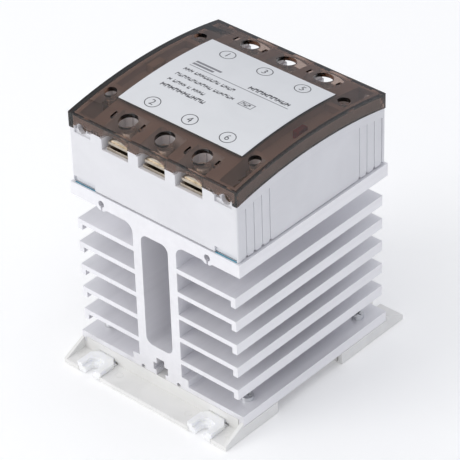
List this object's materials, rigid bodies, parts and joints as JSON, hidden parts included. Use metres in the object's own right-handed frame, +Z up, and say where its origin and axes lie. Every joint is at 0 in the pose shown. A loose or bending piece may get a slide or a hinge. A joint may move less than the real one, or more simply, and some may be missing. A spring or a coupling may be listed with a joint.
{
  "type": "solid state relay",
  "caption": "Three-phase solid state relay with screw terminals under a smoked cover, on a finned heatsink with rail-mounting feet.",
  "frame": {"origin": "on the floor under the middle of the part", "axes": "+X along the rail to the right, +Y to the back (line side), +Z up out of the mounting plane"},
  "size_m": [0.1, 0.1246, 0.1373],
  "materials": {
    "anodised_aluminium": "satin anodised",
    "foot_plastic": "moulded",
    "zinc_steel": "zinc plated",
    "nylon": "translucent",
    "spring_steel": "drawn wire",
    "foil": "soft",
    "plain_aluminium": "machined",
    "ceramic": "fired",
    "silicon": "polished",
    "copper": "bare",
    "gel": "soft gel",
    "nickel": "nickel plated",
    "brass_pin": "plated",
    "board": "solder mask",
    "white_epoxy": "moulded",
    "blue_case": "moulded",
    "orange_coat": "dipped",
    "resistor_coat": "lacquered",
    "black_epoxy": "moulded",
    "red_lens": "clear tinted",
    "white_plastic": "moulded",
    "pale_plastic": "moulded",
    "smoked_polycarbonate": "clear tinted",
    "label_foil": "printed",
    "screw_nickel": "nickel plated"
  },
  "bodies": {
    "relay": {"heatsink": "anodised_aluminium", "front_foot": "foot_plastic", "rear_foot": "foot_plastic", "foot_screws": "zinc_steel", "latch_spring_left": "spring_steel", "latch_spring_right": "spring_steel", "thermal_foil": "foil", "base_plate": "plain_aluminium", "relay_screws": "zinc_steel", "substrates": "ceramic", "thyristor_dies": "silicon", "copper_straps": "copper", "potting": "gel", "line_bars": "nickel", "load_bars": "nickel", "control_bars": "nickel", "gate_pins": "brass_pin", "control_pins": "brass_pin", "board_posts": "brass_pin", "circuit_board": "board", "board_screws": "zinc_steel", "opto_couplers": "white_epoxy", "snubber_capacitors": "blue_case", "varistors": "orange_coat", "gate_resistors": "resistor_coat", "control_regulator": "black_epoxy", "indicator_lamp": "red_lens", "indicator_window": "red_lens", "housing": "white_plastic", "marker_window": "pale_plastic"},
    "cover": {"cover": "smoked_polycarbonate", "label": "label_foil"},
    "latch_left": {"latch_left": "nylon"},
    "latch_right": {"latch_right": "nylon"},
    "clamp_line_1": {"clamp_line_1": "nickel"},
    "screw_line_1": {"screw_line_1": "screw_nickel"},
    "clamp_line_2": {"clamp_line_2": "nickel"},
    "screw_line_2": {"screw_line_2": "screw_nickel"},
    "clamp_line_3": {"clamp_line_3": "nickel"},
    "screw_line_3": {"screw_line_3": "screw_nickel"},
    "clamp_load_1": {"clamp_load_1": "nickel"},
    "screw_load_1": {"screw_load_1": "screw_nickel"},
    "clamp_load_2": {"clamp_load_2": "nickel"},
    "screw_load_2": {"screw_load_2": "screw_nickel"},
    "clamp_load_3": {"clamp_load_3": "nickel"},
    "screw_load_3": {"screw_load_3": "screw_nickel"},
    "yoke_front_left": {"yoke_front_left": "nickel"},
    "pin_front_left": {"pin_front_left": "screw_nickel"},
    "yoke_front_right": {"yoke_front_right": "nickel"},
    "pin_front_right": {"pin_front_right": "screw_nickel"},
    "yoke_back_left": {"yoke_back_left": "nickel"},
    "pin_back_left": {"pin_back_left": "screw_nickel"},
    "yoke_back_right": {"yoke_back_right": "nickel"},
    "pin_back_right": {"pin_back_right": "screw_nickel"}
  },
  "joints": [
    {"name": "cover_lift", "type": "slide", "parent": "relay", "child": "cover", "axis": [0, 0, 1], "range_m": [0, 0.03]},
    {"name": "latch_left_slide", "type": "slide", "parent": "relay", "child": "latch_left", "axis": [0, -1, 0], "range_m": [0, 0.0045], "stiffness_N_per_m": 600, "springref_m": -0.002, "deforming": ["latch_spring_left"]},
    {"name": "latch_right_slide", "type": "slide", "parent": "relay", "child": "latch_right", "axis": [0, -1, 0], "range_m": [0, 0.0045], "stiffness_N_per_m": 600, "springref_m": -0.002, "deforming": ["latch_spring_right"]},
    {"name": "clamp_line_1_lift", "type": "slide", "parent": "relay", "child": "clamp_line_1", "axis": [0, 0, 1], "range_m": [-0.0009, 0.0024]},
    {"name": "screw_line_1_turn", "type": "hinge", "parent": "clamp_line_1", "child": "screw_line_1", "pos_m": [-0.0216, 0.0399, 0.12], "axis": [0, 0, 1], "range_deg": [-463.4, 1234.8]},
    {"name": "clamp_line_2_lift", "type": "slide", "parent": "relay", "child": "clamp_line_2", "axis": [0, 0, 1], "range_m": [-0.0009, 0.0024]},
    {"name": "screw_line_2_turn", "type": "hinge", "parent": "clamp_line_2", "child": "screw_line_2", "pos_m": [0, 0.0399, 0.12], "axis": [0, 0, 1], "range_deg": [-463.4, 1234.8]},
    {"name": "clamp_line_3_lift", "type": "slide", "parent": "relay", "child": "clamp_line_3", "axis": [0, 0, 1], "range_m": [-0.0009, 0.0024]},
    {"name": "screw_line_3_turn", "type": "hinge", "parent": "clamp_line_3", "child": "screw_line_3", "pos_m": [0.0216, 0.0399, 0.12], "axis": [0, 0, 1], "range_deg": [-463.4, 1234.8]},
    {"name": "clamp_load_1_lift", "type": "slide", "parent": "relay", "child": "clamp_load_1", "axis": [0, 0, 1], "range_m": [-0.0009, 0.0024]},
    {"name": "screw_load_1_turn", "type": "hinge", "parent": "clamp_load_1", "child": "screw_load_1", "pos_m": [-0.0216, -0.0399, 0.12], "axis": [0, 0, 1], "range_deg": [-463.4, 1234.8]},
    {"name": "clamp_load_2_lift", "type": "slide", "parent": "relay", "child": "clamp_load_2", "axis": [0, 0, 1], "range_m": [-0.0009, 0.0024]},
    {"name": "screw_load_2_turn", "type": "hinge", "parent": "clamp_load_2", "child": "screw_load_2", "pos_m": [0, -0.0399, 0.12], "axis": [0, 0, 1], "range_deg": [-463.4, 1234.8]},
    {"name": "clamp_load_3_lift", "type": "slide", "parent": "relay", "child": "clamp_load_3", "axis": [0, 0, 1], "range_m": [-0.0009, 0.0024]},
    {"name": "screw_load_3_turn", "type": "hinge", "parent": "clamp_load_3", "child": "screw_load_3", "pos_m": [0.0216, -0.0399, 0.12], "axis": [0, 0, 1], "range_deg": [-463.4, 1234.8]},
    {"name": "yoke_front_left_lift", "type": "slide", "parent": "relay", "child": "yoke_front_left", "axis": [0, 0, 1], "range_m": [-0.0016, 0.0009]},
    {"name": "pin_front_left_turn", "type": "hinge", "parent": "yoke_front_left", "child": "pin_front_left", "pos_m": [-0.042, -0.0294, 0.12], "axis": [0, 0, 1], "range_deg": [-1152.5, 648.5]},
    {"name": "yoke_front_right_lift", "type": "slide", "parent": "relay", "child": "yoke_front_right", "axis": [0, 0, 1], "range_m": [-0.0016, 0.0009]},
    {"name": "pin_front_right_turn", "type": "hinge", "parent": "yoke_front_right", "child": "pin_front_right", "pos_m": [0.042, -0.0294, 0.12], "axis": [0, 0, 1], "range_deg": [-1152.5, 648.5]},
    {"name": "yoke_back_left_lift", "type": "slide", "parent": "relay", "child": "yoke_back_left", "axis": [0, 0, 1], "range_m": [-0.0016, 0.0009]},
    {"name": "pin_back_left_turn", "type": "hinge", "parent": "yoke_back_left", "child": "pin_back_left", "pos_m": [-0.042, 0.0294, 0.12], "axis": [0, 0, 1], "range_deg": [-1152.5, 648.5]},
    {"name": "yoke_back_right_lift", "type": "slide", "parent": "relay", "child": "yoke_back_right", "axis": [0, 0, 1], "range_m": [-0.0016, 0.0009]},
    {"name": "pin_back_right_turn", "type": "hinge", "parent": "yoke_back_right", "child": "pin_back_right", "pos_m": [0.042, 0.0294, 0.12], "axis": [0, 0, 1], "range_deg": [-1152.5, 648.5]}
  ],
  "couplings": [
    {"joint": "screw_line_1_turn", "follows": "clamp_line_1_lift", "rad_per_m": 8976},
    {"joint": "screw_line_2_turn", "follows": "clamp_line_2_lift", "rad_per_m": 8976},
    {"joint": "screw_line_3_turn", "follows": "clamp_line_3_lift", "rad_per_m": 8976},
    {"joint": "screw_load_1_turn", "follows": "clamp_load_1_lift", "rad_per_m": 8976},
    {"joint": "screw_load_2_turn", "follows": "clamp_load_2_lift", "rad_per_m": 8976},
    {"joint": "screw_load_3_turn", "follows": "clamp_load_3_lift", "rad_per_m": 8976},
    {"joint": "pin_front_left_turn", "follows": "yoke_front_left_lift", "rad_per_m": 12566},
    {"joint": "pin_front_right_turn", "follows": "yoke_front_right_lift", "rad_per_m": 12566},
    {"joint": "pin_back_left_turn", "follows": "yoke_back_left_lift", "rad_per_m": 12566},
    {"joint": "pin_back_right_turn", "follows": "yoke_back_right_lift", "rad_per_m": 12566}
  ]
}
